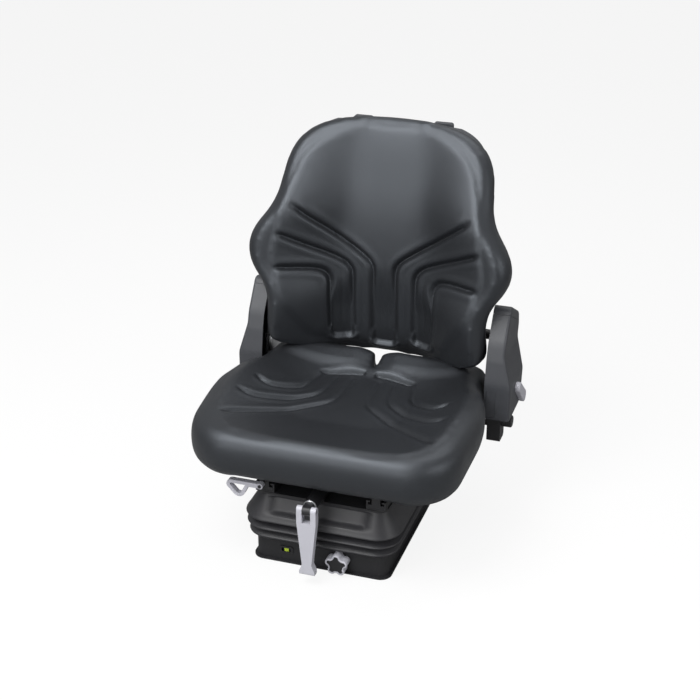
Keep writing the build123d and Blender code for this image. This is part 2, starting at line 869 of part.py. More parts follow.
def make_side_cover(side):
    foot_y = axis_y - bracket_foot_shift
    blank = arm_blank(side, 0)
    core = arm_blank(side, cover_wall)
    with BuildPart() as cover:
        add(blank.part)
        add(core.part, mode=Mode.SUBTRACT)
        split(bisect_by=seam_plane(seam_gap), keep=Keep.BOTTOM)
        block(
            (side * (bracket_x + insert_inset), side * (bracket_x + insert_inset + insert_width)),
            (arm_front_y - 1, arm_front_y + cover_wall + 1),
            (arm_foot_z + insert_rise, arm_foot_z + insert_rise + insert_height),
            Mode.SUBTRACT,
        )
        block(
            (side * (bracket_x - 1), side * (bracket_x + bracket_sheet + running_gap)),
            (foot_y - bracket_foot_width / 2 - 1, foot_y + bracket_foot_width / 2 + 1),
            (arm_foot_z - 1, arm_foot_z + cover_wall + bracket_foot_height / 2),
            Mode.SUBTRACT,
        )
        if side > 0:
            bar_x(bracket_x, flare_x + 1, paddle_y, paddle_z, paddle_stud + 2 * running_gap, Mode.SUBTRACT)
    return cover


def make_arm_cap(side):
    blank = arm_blank(side, 0)
    with BuildPart() as cap:
        add(blank.part)
        split(bisect_by=seam_plane(0), keep=Keep.TOP)
    return cap


def make_cover_insert(side):
    with BuildPart() as insert:
        block(
            (
                side * (bracket_x + insert_inset + running_gap),
                side * (bracket_x + insert_inset + insert_width - running_gap),
            ),
            (arm_front_y + insert_set_in, arm_front_y + insert_set_in + insert_thickness),
            (
                arm_foot_z + insert_rise + running_gap,
                arm_foot_z + insert_rise + insert_height - running_gap,
            ),
        )
    return insert


def make_side_block(side):
    inner_x = bracket_x + bracket_sheet
    with BuildPart() as foot:
        block(
            (side * inner_x, side * (inner_x + block_width)),
            (block_y, block_y + block_depth),
            (block_top_z - block_height, block_top_z),
        )
        chamfer(foot.edges().filter_by(Axis.X), block_chamfer)
    return foot


def make_side_knob(side):
    inner_x = bracket_x + bracket_sheet + block_width
    knob_centre_z = block_top_z - side_knob_drop - side_knob_diameter / 2
    with BuildPart() as knob:
        bar_x(
            side * inner_x, side * (inner_x + side_knob_length),
            block_y + block_depth / 2, knob_centre_z, side_knob_diameter,
        )
        chamfer(knob.edges().group_by(Axis.X)[-1 if side > 0 else 0], side_knob_drop)
    return knob


def make_pivot_bolt(side):
    nut_x = bracket_x + bracket_sheet
    with BuildPart() as bolt:
        bar_x(side * recliner_x, side * (nut_x + bolt_tail), axis_y, axis_z, pivot_bolt)
        with BuildSketch(Plane.YZ.offset(side * nut_x)):
            with Locations((axis_y, axis_z)):
                RegularPolygon(nut_radius, 6)
        extrude(amount=side * nut_height)
    return bolt


# Loop lever that frees the slide: a hub on its stud and a rounded triangle for the fingers
def make_slide_lever():
    start_x = -rail_x
    end_x = -rail_x - loop_reach
    join_x = -rail_x - rail_width / 2 - loop_join
    with BuildPart() as lever:
        with BuildSketch(Plane.XZ.offset(-loop_y - loop_thickness / 2)) as outline:
            with BuildLine():
                Polyline(
                    (start_x, loop_z + loop_bar / 2), (end_x, loop_z + loop_bar / 2),
                    (end_x + loop_reach * 0.5, loop_z - loop_drop), (join_x, loop_z - loop_bar / 2),
                    (start_x, loop_z - loop_bar / 2), close=True,
                )
            make_face()
            fillet(outline.vertices().group_by(Axis.X)[0], 9)
            fillet(outline.vertices().group_by(Axis.Y)[0], 12)
            offset(amount=-loop_bar * 0.72, mode=Mode.SUBTRACT)
            with Locations((start_x, loop_z)):
                Circle(loop_hub / 2)
                Circle(loop_stud / 2 + running_gap, mode=Mode.SUBTRACT)
        extrude(amount=loop_thickness)
    return lever


# Paddle that frees the recliner, on a stud at the outside of the right-hand cover
def make_recline_lever():
    paddle_x = flare_x + running_gap
    with BuildPart() as paddle:
        along = (0, cos(radians(paddle_droop)), -sin(radians(paddle_droop)))
        with BuildSketch(Plane(origin=(paddle_x, paddle_y, paddle_z), x_dir=along, z_dir=(1, 0, 0))):
            Circle(paddle_hub / 2)
            with Locations((paddle_length - paddle_width / 2, 0)):
                Circle(paddle_width / 2)
            make_hull()
        extrude(amount=paddle_thickness)
        fillet(paddle.faces().sort_by(Axis.X)[-1].edges(), 2.5)
        bar_x(
            cover_x - cover_wall, paddle_x, paddle_y, paddle_z, paddle_stud,
        )
    return paddle


# Backrest stations: height, half width, front centre, lead of the side wings and thickness
backrest_stations = [
    (262.0, 206.0, 250.0, 85.0, 26.0, 26.0),
    (285.0, 213.0, 244.0, 92.0, 48.0, 44.0),
    (315.0, 216.0, 241.0, 95.0, 55.0, 54.0),
    (350.0, 216.0, 239.0, 95.0, 58.0, 60.0),
    (385.0, 217.0, 237.5, 91.5, 60.0, 62.0),
    (415.0, 228.0, 236.5, 86.5, 61.0, 63.0),
    (445.0, 248.0, 237.0, 83.0, 61.0, 63.0),
    (480.0, 256.0, 239.5, 82.5, 60.0, 61.0),
    (515.0, 247.0, 243.5, 78.5, 59.0, 59.0),
    (548.0, 224.0, 249.0, 69.0, 58.0, 56.0),
    (580.0, 210.0, 256.5, 55.5, 56.0, 53.0),
    (620.0, 204.0, 268.0, 41.0, 53.0, 49.0),
    (660.0, 192.0, 280.0, 30.0, 48.0, 44.0),
    (684.0, 173.0, 288.0, 23.0, 41.0, 37.0),
    (702.0, 142.0, 295.0, 16.0, 31.0, 27.0),
    (713.0, 104.0, 300.0, 11.0, 20.0, 17.0),
    (719.0, 66.0, 303.0, 7.0, 10.0, 9.0),
]
side_bulge = 0.35
front_shares = ((0.4, 0.1), (0.65, 0.5))


def section_edges(station):
    """Half width at the edge, front and rear edge places of one station."""
    z, half_width, front_y, lead, thickness, side_depth = station
    return half_width - side_bulge * side_depth, front_y - lead, front_y - lead + side_depth


def make_backrest_cushion():
    with BuildPart() as cushion:
        for station in backrest_stations:
            z, half_width, front_y, lead, thickness, side_depth = station
            edge_x, edge_front, edge_rear = section_edges(station)
            middle_y = (edge_front + edge_rear) / 2
            half = [(share * edge_x, front_y - drop * lead) for share, drop in front_shares]
            half.append((edge_x, edge_front))
            with BuildSketch(Plane.XY.offset(z)):
                with BuildLine():
                    Spline([(-x, y) for x, y in reversed(half)] + [(0, front_y)] + half)
                    ThreePointArc((edge_x, edge_front), (half_width, middle_y), (edge_x, edge_rear))
                    ThreePointArc((edge_x, edge_rear), (0, front_y + thickness), (-edge_x, edge_rear))
                    ThreePointArc((-edge_x, edge_rear), (-half_width, middle_y), (-edge_x, edge_front))
                make_face()
        loft()
        bottom_z = backrest_stations[0][0]
        reach = cushion_half_width
        with BuildSketch(Plane.XZ.offset(-axis_y - reach)):
            with BuildLine():
                ThreePointArc((-reach, bottom_z + backrest_arch), (0, bottom_z), (reach, bottom_z + backrest_arch))
                Polyline(
                    (reach, bottom_z + backrest_arch), (reach, bottom_z - backrest_arch),
                    (-reach, bottom_z - backrest_arch), (-reach, bottom_z + backrest_arch),
                )
            make_face()
        extrude(amount=2 * reach, mode=Mode.SUBTRACT)
    return cushion


def make_backrest_shell():
    with BuildPart() as shell:
        for station in backrest_stations:
            z, half_width, front_y, lead, thickness, side_depth = station
            edge_x, edge_front, edge_rear = section_edges(station)
            inside = shell_gap
            outside = inside + shell_thickness
            rear_y = front_y + thickness
            with BuildSketch(Plane.XY.offset(z)):
                with BuildLine():
                    ThreePointArc((edge_x, edge_rear + inside), (0, rear_y + inside), (-edge_x, edge_rear + inside))
                    Line((-edge_x, edge_rear + inside), (-edge_x, edge_rear + outside))
                    ThreePointArc((-edge_x, edge_rear + outside), (0, rear_y + outside), (edge_x, edge_rear + outside))
                    Line((edge_x, edge_rear + outside), (edge_x, edge_rear + inside))
                make_face()
        loft()
        split(bisect_by=Plane.XY.offset(shell_bottom_z), keep=Keep.TOP)
        split(bisect_by=Plane.XY.offset(shell_top_z), keep=Keep.BOTTOM)
    return shell


# Backrest frame: a cross tube between the recliner plates and a plate up the back of the shell
frame_plate_y = (
    max(s[2] + s[4] for s in backrest_stations if s[0] < frame_plate_top)
    + shell_gap + shell_thickness + 3 * soft_gap
)
frame_tube_y = frame_plate_y + frame_plate_sheet + frame_tube / 2


def make_backrest_frame():
    with BuildPart() as frame:
        bar_x(-recliner_x, recliner_x, frame_tube_y, frame_tube_z, frame_tube)
        block(
            (-frame_plate_width / 2, frame_plate_width / 2),
            (frame_plate_y, frame_tube_y),
            (frame_tube_z - frame_tube / 2, frame_tube_z + frame_tube / 2),
        )
        block(
            (-frame_plate_width / 2, frame_plate_width / 2),
            (frame_plate_y, frame_plate_y + frame_plate_sheet),
            (frame_tube_z - frame_tube / 2, frame_plate_top),
        )
    return frame


def make_recliner_plate(side):
    with BuildPart() as plate:
        with BuildSketch(Plane.YZ.offset(side * recliner_x)):
            with Locations((axis_y, axis_z)):
                Circle(recliner_radius)
            with Locations((frame_tube_y, frame_tube_z)):
                Circle(frame_tube / 2 + frame_boss)
            make_hull()
            with Locations((axis_y, axis_z)):
                Circle(pivot_bolt / 2 + running_gap, mode=Mode.SUBTRACT)
        extrude(amount=side * recliner_sheet)
    return plate


def make_top_lugs():
    station = backrest_stations[-3]
    rear_y = station[2] + station[4] + shell_gap + shell_thickness - lug_set_in
    with BuildPart() as lugs:
        for side in (-1, 1):
            block(
                (side * (lug_x - lug_width / 2), side * (lug_x + lug_width / 2)),
                (rear_y + soft_gap, rear_y + soft_gap + lug_depth),
                (lug_z - lug_height / 2, lug_z + lug_height / 2),
            )
        fillet(lugs.edges().filter_by(Axis.Y), 5)
    return lugs


save(make_base_tray(), "base_tray")
save(make_shaft(outer_arm_x + arm_sheet + ear_gap + ear_sheet, lower_pivot_z), "lower_pivot_shaft")
save(make_shaft(inner_arm_x + arm_sheet + ear_gap + ear_sheet, upper_pivot_z), "upper_pivot_shaft")
save(make_bump_stops(), "bump_stops")
save(make_scissor_arms(outer_arm_x, lower_pivot_z, upper_pivot_z, cross_pin), "outer_scissor_arms")
save(
    make_scissor_arms(inner_arm_x, upper_pivot_z, lower_pivot_z, cross_pin + 2 * cross_pin_play),
    "inner_scissor_arms",
)
save(make_rollers(upper_pivot_z), "upper_rollers")
save(make_rollers(lower_pivot_z), "lower_rollers")
save(make_cross_pins(), "scissor_cross_pins")
save(make_springs(), "springs")
save(make_damper_barrel(), "damper_barrel")
save(make_damper_rod(), "damper_rod")
save(make_bellows(), "bellows")
save(make_top_frame(), "top_frame")
save(make_crank_housing(), "crank_housing")
save(make_crank_shaft(), "crank_shaft")
save(make_crank_ring(), "crank_ring")
save(make_weight_lever(), "weight_lever")
save(make_lever_pin(), "lever_pin")
save(make_height_knob(), "height_knob")
save(make_knob_insert(), "knob_insert")
save(make_knob_spindle(), "knob_spindle")
save(make_knob_bush(), "knob_bush")
save(make_indicator_bezel(), "indicator_bezel")
save(make_weight_marker(), "weight_marker")
save(make_seat_pan(), "seat_pan")
save(make_seat_cushion(), "seat_cushion")
save(make_slide_lever(), "slide_lever")
save(make_recline_lever(), "recline_lever")
save(make_backrest_cushion(), "backrest_cushion")
save(make_backrest_shell(), "backrest_shell")
save(make_backrest_frame(), "backrest_frame")
save(make_top_lugs(), "top_lugs")
for side, name in ((-1, "right"), (1, "left")):
    save(make_channel(side, lower_pivot_z), f"lower_roller_channel_{name}")
    save(make_channel(side, upper_pivot_z), f"upper_roller_channel_{name}")
    save(make_lower_rail(side), f"lower_rail_{name}")
    save(make_upper_rail(side), f"upper_rail_{name}")
    save(make_side_bracket(side), f"side_bracket_{name}")
    save(make_side_cover(side), f"side_cover_{name}")
    save(make_arm_cap(side), f"arm_cap_{name}")
    save(make_cover_insert(side), f"cover_insert_{name}")
    save(make_side_block(side), f"side_block_{name}")
    save(make_side_knob(side), f"side_knob_{name}")
    save(make_pivot_bolt(side), f"pivot_bolt_{name}")
    save(make_recliner_plate(side), f"recliner_plate_{name}")
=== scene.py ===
import json
import math

import bmesh
import bpy
import numpy as np
from bpy.props import FloatProperty, FloatVectorProperty, IntProperty, PointerProperty
from mathutils import Matrix, Vector
from mathutils.bvhtree import BVHTree


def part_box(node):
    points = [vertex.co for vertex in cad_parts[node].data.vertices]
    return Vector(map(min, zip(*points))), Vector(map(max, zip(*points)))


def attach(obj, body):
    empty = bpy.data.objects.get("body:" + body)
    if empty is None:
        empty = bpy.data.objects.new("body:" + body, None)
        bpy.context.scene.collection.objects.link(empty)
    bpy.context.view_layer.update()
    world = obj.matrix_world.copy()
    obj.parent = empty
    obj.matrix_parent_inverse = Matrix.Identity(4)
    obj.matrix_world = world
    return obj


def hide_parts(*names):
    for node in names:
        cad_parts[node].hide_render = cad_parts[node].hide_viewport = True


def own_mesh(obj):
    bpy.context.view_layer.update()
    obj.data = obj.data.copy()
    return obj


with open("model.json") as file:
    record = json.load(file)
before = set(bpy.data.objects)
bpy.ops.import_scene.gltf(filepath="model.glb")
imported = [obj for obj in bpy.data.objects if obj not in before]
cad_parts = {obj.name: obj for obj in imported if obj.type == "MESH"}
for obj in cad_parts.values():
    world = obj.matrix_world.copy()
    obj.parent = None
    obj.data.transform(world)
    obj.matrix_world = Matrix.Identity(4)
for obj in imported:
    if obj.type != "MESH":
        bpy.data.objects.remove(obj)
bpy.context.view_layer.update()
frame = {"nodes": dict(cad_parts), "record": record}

bl_info = {
    "name": "Sprung operator seat",
    "version": (1, 0, 0),
    "blender": (4, 5, 0),
    "location": "3D View > Sidebar > Seat",
    "description": "Dresses a sprung operator seat with moulded vinyl cushions, bellows, springs "
                   "and finishes",
    "category": "Object",
}

MM = 0.001

# Moulded groove lines on the occupant's left, in millimetres; the right side mirrors them.
# On the backrest they are (x, z), from the outer end of the fan down to the foot.
BACKREST_GROOVES = (
    ((178, 573), (109, 514), (48, 470), (34, 459), (26, 449), (22, 436), (22, 400), (22, 292)),
    ((203, 517), (139, 483), (90, 458), (75, 449), (66, 438), (62, 425), (62, 390), (62, 302)),
    ((203, 448), (150, 444), (122, 439), (108, 431), (101, 419), (99, 404), (99, 360), (99, 306)),
)
# Sunk channels between those grooves: middle x, half width, foot z and the height where they fade out.
BACKREST_CHANNELS = ((0, 22, 281, 450), (80, 19, 292, 420), (-80, 19, 292, 420))
# On the seat they are (x, y), from the outer end to the step in front of the rear pads.
SEAT_GROOVES = (
    ((202, -127), (120, -49), (54, 8), (40, 20), (32, 34), (29, 60), (29, 95), (27, 145)),
    ((206, -33), (172, -33), (126, 0), (86, 32), (74, 43), (67, 56), (64, 70), (61, 98), (56, 142)),
    ((193, 36), (165, 25), (138, 40), (113, 62), (104, 80), (99, 105), (89, 137)),
)
SEAT_STEP = ((100, 131), (50, 146), (8, 149))
# Screws at the back: the node that carries them, and their x and z on the occupant's left, in millimetres.
BACK_SCREWS = (
    ("backrest_shell", ((150, 370), (178, 470), (150, 580), (95, 670))),
    ("backrest_frame", ((32, 318), (32, 372))),
)
SCREW_START = 1.0  # y behind the seat from which the screws' places are found, in metres

# A groove, as shares of its path's length and of its own width and depth
GROOVE_FADE = (0.5, 0.75)
GROOVE_FOOT = 0.93
WALL_CURVE = 1.5
LIP_PLACE, LIP_WIDTH, LIP_HEIGHT = 1.5, 0.7, 0.1
SITTER_FACING = (0.15, 0.55)  # how far a surface faces the sitter where the grooves fade in

# How the cushions' meshes are relaxed
WELD_DISTANCE = 1e-5
EASE_FACTOR = 0.5
EASE_BEFORE, EASE_AFTER, EASE_CREST = 6, 4, 30

# Bands of the backrest, in millimetres
CREST_BAND = 40  # below the top
HEM_HEIGHT = (10, 60)  # above the lower edge
HEM_INNER = (20, 60)  # from the middle
CHANNEL_CORNER = 9
CHANNEL_WALL = (-4, 3)  # across the channel's edge
CHANNEL_FADE = 60  # above the foot
CHANNEL_LIP_PLACE, CHANNEL_LIP_WIDTH, CHANNEL_LIP_BAND = 6, 4, 12
CHANNEL_LIP_SHARE = 0.4  # of the channel's depth

# Bands of the seat's rear pads and raised sides, in millimetres
PAD_INNER, PAD_OUTER = (12, 45), (150, 205)  # from the middle
PAD_FRONT = (146, 176)  # along y
PAD_TOP = (-45, -12)  # from the top
SIDE_FRONT, SIDE_REAR = (-170, 0), (60, 140)  # along y
SIDE_INNER = (150, 225)  # from the middle
SIDE_TOP = 25  # below the top
STEP_SHARE = 1.3  # depth of the step in front of the pads, as a share of a groove's

# The bellows' skirt and its pressed-in field, in millimetres, and the counts of its mesh
SKIRT_CORNER = 26
RECESS_SIDES = (84, 98)  # from the middle
RECESS_FOOT, RECESS_HEAD = (55, 63), (82, 88)  # above the foot of the bellows
RECESS_FRONT = (0.8, 0.95)  # shares of the depth from the middle to the front wall
PROFILE_ROWS, CORNER_STEPS, SIDE_PARTS = 64, 9, 22

# Springs and screws
COIL_STEPS, WIRE_SIDES = 28, 10
HEAD_HEIGHT, WASHER_WIDTH = 0.42, 1.55  # shares of the head's width
WASHER_HEIGHT, CROWN_HEIGHT = 0.35, 1.16  # shares of the head's height
CROWN_RADIUS = 0.4  # share of the head's width
WASHER_SIDES, HEAD_SIDES, CROWN_SIDES = 24, 6, 20

# The studio, in metres and degrees: each lamp's name, its power's setting, place and width
LAMPS = (
    ("key_light", "key", (-0.55, -0.95, 2.1), 1.2),
    ("fill_light", "fill", (-0.5, -2.5, 1.45), 2.3),
    ("side_light", "side", (2.0, -0.6, 1.1), 0.9),
    ("top_light", "top", (0.3, 0.75, 2.2), 1.4),
)
LAMP_AIM = (0, 0.05, 0.35)
CAMERA_PLACE = (0.736, -2.183, 1.450)
CAMERA_TURN, CAMERA_TILT = 18.43, 25.06
SENSOR_WIDTH = 36.0  # millimetres
FLOOR_REACH = 6.0
FLOOR_GLOW, FLOOR_SHADE = 0.88, 0.35  # share of white to the camera, and of colour to other rays
SKY_GLOSS = 0.2  # share of the white sky seen in gloss


# Sizes and colours that a user would change

class CushionSizes(bpy.types.PropertyGroup):
    """Sizes of the two foam cushions."""

    voxel: FloatProperty(
        name="Mesh spacing", description="Edge length of the cushion's mesh before it is divided",
        default=0.0054, min=0.003, unit="LENGTH")
    swell: FloatProperty(
        name="Swell", description="Furthest that the vinyl moves when the foam fills it",
        default=0.004, unit="LENGTH")
    restore: FloatProperty(
        name="Restored edge", description="How far the relaxed form is brought out again",
        default=0.002, unit="LENGTH")
    side_rise: FloatProperty(
        name="Side rise", description="How far the foam stands up and out along the seat's sides",
        default=0.009, unit="LENGTH")
    pressure: FloatProperty(
        name="Foam pressure", description="Pressure of the foam against the vinyl", default=4.0)
    frames: IntProperty(
        name="Settling steps", description="Steps for which the vinyl settles on the foam", default=20)
    backrest_groove: FloatProperty(
        name="Backrest groove depth", description="Depth of the backrest's moulded grooves",
        default=0.0105, unit="LENGTH")
    seat_groove: FloatProperty(
        name="Seat groove depth", description="Depth of the seat's moulded grooves",
        default=0.0065, unit="LENGTH")
    groove_width: FloatProperty(
        name="Groove width", description="Width of each wall of a groove",
        default=0.0085, unit="LENGTH")
    pad_rise: FloatProperty(
        name="Rear pad rise", description="How far the foam stands up in the two rear pads",
        default=0.006, unit="LENGTH")
    hem_drop: FloatProperty(
        name="Hem drop", description="How far the backrest's lower hem reaches down over the pads",
        default=0.004, unit="LENGTH")
    channel_depth: FloatProperty(
        name="Channel depth", description="Depth of the sunk channels at the backrest's foot",
        default=0.0075, unit="LENGTH")


class SuspensionSizes(bpy.types.PropertyGroup):
    """Sizes of the bellows, the springs and the screws at the back."""

    bellows_wall: FloatProperty(
        name="Bellows wall", description="Thickness of the rubber", default=0.0025, unit="LENGTH")
    stroke: FloatProperty(
        name="Stroke", description="How far the suspension goes down", default=0.06, unit="LENGTH")
    recess: FloatProperty(
        name="Skirt recess", description="Depth of the pressed-in field at the front of the bellows' skirt",
        default=0.009, unit="LENGTH")
    spring_wire: FloatProperty(
        name="Spring wire", description="Diameter of the spring wire", default=0.005, unit="LENGTH")
    spring_turns: FloatProperty(
        name="Spring turns", description="Turns of each spring", default=4.5)
    screw_head: FloatProperty(
        name="Screw head", description="Width of a hexagon head over its corners",
        default=0.011, unit="LENGTH")


class SeatColours(bpy.types.PropertyGroup):
    """Colours of the seat's finishes."""

    vinyl: FloatVectorProperty(
        name="Vinyl", description="Moulded cushion vinyl", subtype="COLOR", size=4,
        default=(0.013, 0.0137, 0.0155, 1))
    grey_plastic: FloatVectorProperty(
        name="Arm plastic", description="Grained side arm covers and back shell", subtype="COLOR", size=4,
        default=(0.055, 0.058, 0.066, 1))
    light_plastic: FloatVectorProperty(
        name="Lever plastic", description="Levers, paddle and star knob", subtype="COLOR", size=4,
        default=(0.60, 0.60, 0.66, 1))
    black_plastic: FloatVectorProperty(
        name="Black plastic", description="Blocks, knobs, rollers and bezel", subtype="COLOR", size=4,
        default=(0.018, 0.018, 0.02, 1))
    marker: FloatVectorProperty(
        name="Marker", description="Weight marker", subtype="COLOR", size=4,
        default=(0.55, 0.72, 0.06, 1))
    rubber: FloatVectorProperty(
        name="Rubber", description="Bellows and buffers", subtype="COLOR", size=4,
        default=(0.022, 0.022, 0.025, 1))
    black_steel: FloatVectorProperty(
        name="Black steel", description="Painted frames, rails and base", subtype="COLOR", size=4,
        default=(0.016, 0.016, 0.018, 1))
    bright_steel: FloatVectorProperty(
        name="Bright steel", description="Zinc-plated pins and plates", subtype="COLOR", size=4,
        default=(0.58, 0.59, 0.61, 1))


class StudioSettings(bpy.types.PropertyGroup):
    """The studio around the seat."""

    lens: FloatProperty(name="Lens", description="Focal length in millimetres", default=72.46)
    floor: FloatVectorProperty(
        name="Floor", description="Floor colour", subtype="COLOR", size=4, default=(0.95, 0.95, 0.95, 1))
    sky: FloatProperty(name="Sky", description="Strength of the light from all round", default=0.24)
    key: FloatProperty(
        name="Key light", description="Power of the soft light above the front", default=36.0)
    fill: FloatProperty(
        name="Fill light", description="Power of the soft light beside the camera", default=36.0)
    side: FloatProperty(
        name="Side light", description="Power of the small light at the right", default=9.0)
    top: FloatProperty(
        name="Top light", description="Power of the soft light above the back", default=12.0)


# Finishes

class Wire:
    """One output of a finish's nodes, with arithmetic that adds Math nodes."""

    def __init__(self, finish, socket):
        self.finish = finish
        self.socket = socket

    def maths(self, operation, first, second):
        return self.finish.node("ShaderNodeMath", {"operation": operation}, {0: first, 1: second})

    def __add__(self, other):
        return self.maths("ADD", self, other)

    def __radd__(self, other):
        return self.maths("ADD", other, self)

    def __sub__(self, other):
        return self.maths("SUBTRACT", self, other)

    def __mul__(self, other):
        return self.maths("MULTIPLY", self, other)


class Finish:
    """A node tree under construction, with one method that makes every node."""

    def __init__(self, tree):
        self.tree = tree

    def node(self, kind, settings=None, sockets=None, output=0):
        made = self.tree.nodes.new(kind)
        for name, value in (settings or {}).items():
            if name == "stops":
                ramp = made.color_ramp
                for element, (place, grey) in zip(ramp.elements, value):
                    element.position = place
                    element.color = (grey, grey, grey, 1)
            else:
                setattr(made, name, value)
        for key, value in (sockets or {}).items():
            self.feed(made.inputs[key], value)
        return Wire(self, made.outputs[output])

    def feed(self, socket, value):
        if isinstance(value, Wire):
            self.tree.links.new(value.socket, socket)
        else:
            socket.default_value = value

    def place(self):
        return self.node("ShaderNodeTexCoord", output="Object")

    def noise(self, scale, detail=3.0, stretch=None):
        where = self.place()
        if stretch:
            where = self.node("ShaderNodeMapping", {}, {"Vector": where, "Scale": stretch})
        return self.node("ShaderNodeTexNoise", {}, {"Vector": where, "Scale": scale, "Detail": detail})

    def cells(self, scale):
        return self.node(
            "ShaderNodeTexVoronoi", {"feature": "DISTANCE_TO_EDGE"},
            {"Vector": self.place(), "Scale": scale}, "Distance")

    def ramp(self, value, low, high):
        return self.node("ShaderNodeValToRGB", {"stops": ((low, 0.0), (high, 1.0))}, {"Fac": value})

    def mix(self, share, first, second):
        return self.node(
            "ShaderNodeMix", {"data_type": "RGBA"}, {0: share, 6: first, 7: second}, 2)

    def bump(self, height, strength, distance):
        return self.node(
            "ShaderNodeBump", {}, {"Height": height, "Strength": strength, "Distance": distance})


def shaded(colour, factor):
    """A colour made darker or lighter."""
    return tuple(min(1.0, c * factor) for c in colour[:3]) + (1.0,)


def new_finish(name, **constants):
    """A material with its plain values set on the shader, and the finish that adds to it."""
    material = bpy.data.materials.new(name)
    material.use_nodes = True
    shader = material.node_tree.nodes["Principled BSDF"]
    for key, value in constants.items():
        shader.inputs[key.replace("_", " ")].default_value = value
    return material, Finish(material.node_tree), shader.inputs


def vinyl_finish(colour):
    """Moulded vinyl: fine leather grain, softly uneven gloss, duller in the grooves, with painted shade
    darkening the grooves.
    """
    material, finish, sockets = new_finish(
        "moulded_vinyl", Specular_IOR_Level=0.75, Specular_Tint=(0.84, 0.91, 1.0, 1.0))
    grain = finish.ramp(finish.cells(900.0), 0.02, 0.2)
    pores = finish.noise(2600.0, 2.0)
    cloud = finish.noise(9.0, 4.0)
    crease = finish.node("ShaderNodeAttribute", {"attribute_name": "crease"}, output="Fac")
    worn = finish.mix(cloud * 0.55, colour, shaded(colour, 1.5))
    # Painted shade: the base colour darkens towards a shaded copy where the grooves are deepest.
    finish.feed(sockets["Base Color"], finish.mix(crease * 0.6, worn, shaded(colour, 0.55)))
    finish.feed(sockets["Roughness"], 0.38 + cloud * 0.07 + crease * 0.1 - grain * 0.03)
    finish.feed(sockets["Normal"], finish.bump(grain * 0.7 + pores * 0.3, 0.22, 0.0004))
    return material


def plastic_finish(name, colour, gloss, grain_scale, grain_strength):
    """Moulded plastic with spark-eroded grain and faint handling marks."""
    material, finish, sockets = new_finish(name)
    grain = finish.noise(grain_scale, 2.0)
    cloud = finish.noise(14.0, 4.0)
    scuffs = finish.ramp(finish.noise(60.0, 6.0, (1.0, 1.0, 0.25)), 0.58, 0.75)
    body = finish.mix(cloud * 0.5, shaded(colour, 0.92), shaded(colour, 1.1))
    finish.feed(sockets["Base Color"], finish.mix(scuffs * 0.15, body, shaded(colour, 1.5)))
    finish.feed(sockets["Roughness"], gloss + cloud * 0.08 + scuffs * 0.08)
    finish.feed(sockets["Normal"], finish.bump(grain, grain_strength, 0.0003))
    return material


def rubber_finish(colour):
    """Satin moulded rubber with a dusty bloom."""
    material, finish, sockets = new_finish("bellows_rubber")
    bloom = finish.noise(22.0, 5.0)
    skin = finish.noise(900.0, 2.0)
    finish.feed(sockets["Base Color"], finish.mix(bloom * 0.6, colour, shaded(colour, 1.7)))
    finish.feed(sockets["Roughness"], 0.4 + bloom * 0.14)
    finish.feed(sockets["Normal"], finish.bump(skin, 0.12, 0.0003))
    return material


def paint_finish(colour):
    """Powder-coated steel with orange peel and a few rubbed spots."""
    material, finish, sockets = new_finish("black_paint")
    peel = finish.noise(420.0, 2.0)
    cloud = finish.noise(18.0, 4.0)
    rubbed = finish.ramp(finish.noise(75.0, 5.0), 0.68, 0.8)
    body = finish.mix(cloud * 0.5, colour, shaded(colour, 1.4))
    finish.feed(sockets["Base Color"], finish.mix(rubbed * 0.25, body, shaded(colour, 3.0)))
    finish.feed(sockets["Roughness"], 0.38 + cloud * 0.12)
    finish.feed(sockets["Normal"], finish.bump(peel, 0.1, 0.0004))
    return material


def zinc_finish(colour):
    """Brushed zinc plate with passivation clouds."""
    material, finish, sockets = new_finish("zinc_plate", Metallic=1.0)
    brushed = finish.noise(380.0, 3.0, (0.08, 1.0, 1.0))
    cloud = finish.noise(30.0, 4.0)
    finish.feed(sockets["Base Color"], finish.mix(cloud, shaded(colour, 0.8), shaded(colour, 1.1)))
    finish.feed(sockets["Roughness"], 0.26 + cloud * 0.12 + brushed * 0.08)
    finish.feed(sockets["Normal"], finish.bump(brushed, 0.08, 0.0002))
    return material


def make_finishes(colours):
    """Every finish of the seat, under the record's slot names."""
    return {
        "vinyl": vinyl_finish(colours.vinyl),
        "grey_plastic": plastic_finish("arm_plastic", colours.grey_plastic, 0.42, 1500.0, 0.2),
        "light_plastic": plastic_finish("lever_plastic", colours.light_plastic, 0.36, 900.0, 0.06),
        "black_plastic": plastic_finish("black_plastic", colours.black_plastic, 0.44, 1300.0, 0.18),
        "marker_plastic": plastic_finish("marker_plastic", colours.marker, 0.25, 700.0, 0.04),
        "rubber": rubber_finish(colours.rubber),
        "black_steel": paint_finish(colours.black_steel),
        "bright_steel": zinc_finish(colours.bright_steel),
    }


# Meshes

def finish_of(slot):
    """The finish with a slot's name."""
    return bpy.data.materials[bpy.context.scene["finish_names"][slot]]


def new_piece(name, mesh):
    piece = bpy.data.objects.new(name, mesh)
    bpy.context.scene.collection.objects.link(piece)
    return piece


def settle(piece):
    """Turns a piece's modifiers into a plain mesh."""
    graph = bpy.context.evaluated_depsgraph_get()
    mesh = bpy.data.meshes.new_from_object(piece.evaluated_get(graph))
    old = piece.data
    piece.modifiers.clear()
    piece.data = mesh
    bpy.data.meshes.remove(old)
    return piece


def points_of(mesh):
    found = np.empty(len(mesh.vertices) * 3)
    mesh.vertices.foreach_get("co", found)
    return found.reshape(-1, 3)


def normals_of(mesh):
    found = np.empty(len(mesh.vertices) * 3, np.float32)
    mesh.vertex_normals.foreach_get("vector", found)
    return found.reshape(-1, 3).astype(float)


def set_points(mesh, points):
    mesh.vertices.foreach_set("co", points.astype(np.float32).ravel())
    mesh.update()


def smooth_shaded(mesh):
    mesh.polygons.foreach_set("use_smooth", [True] * len(mesh.polygons))
    mesh.update()


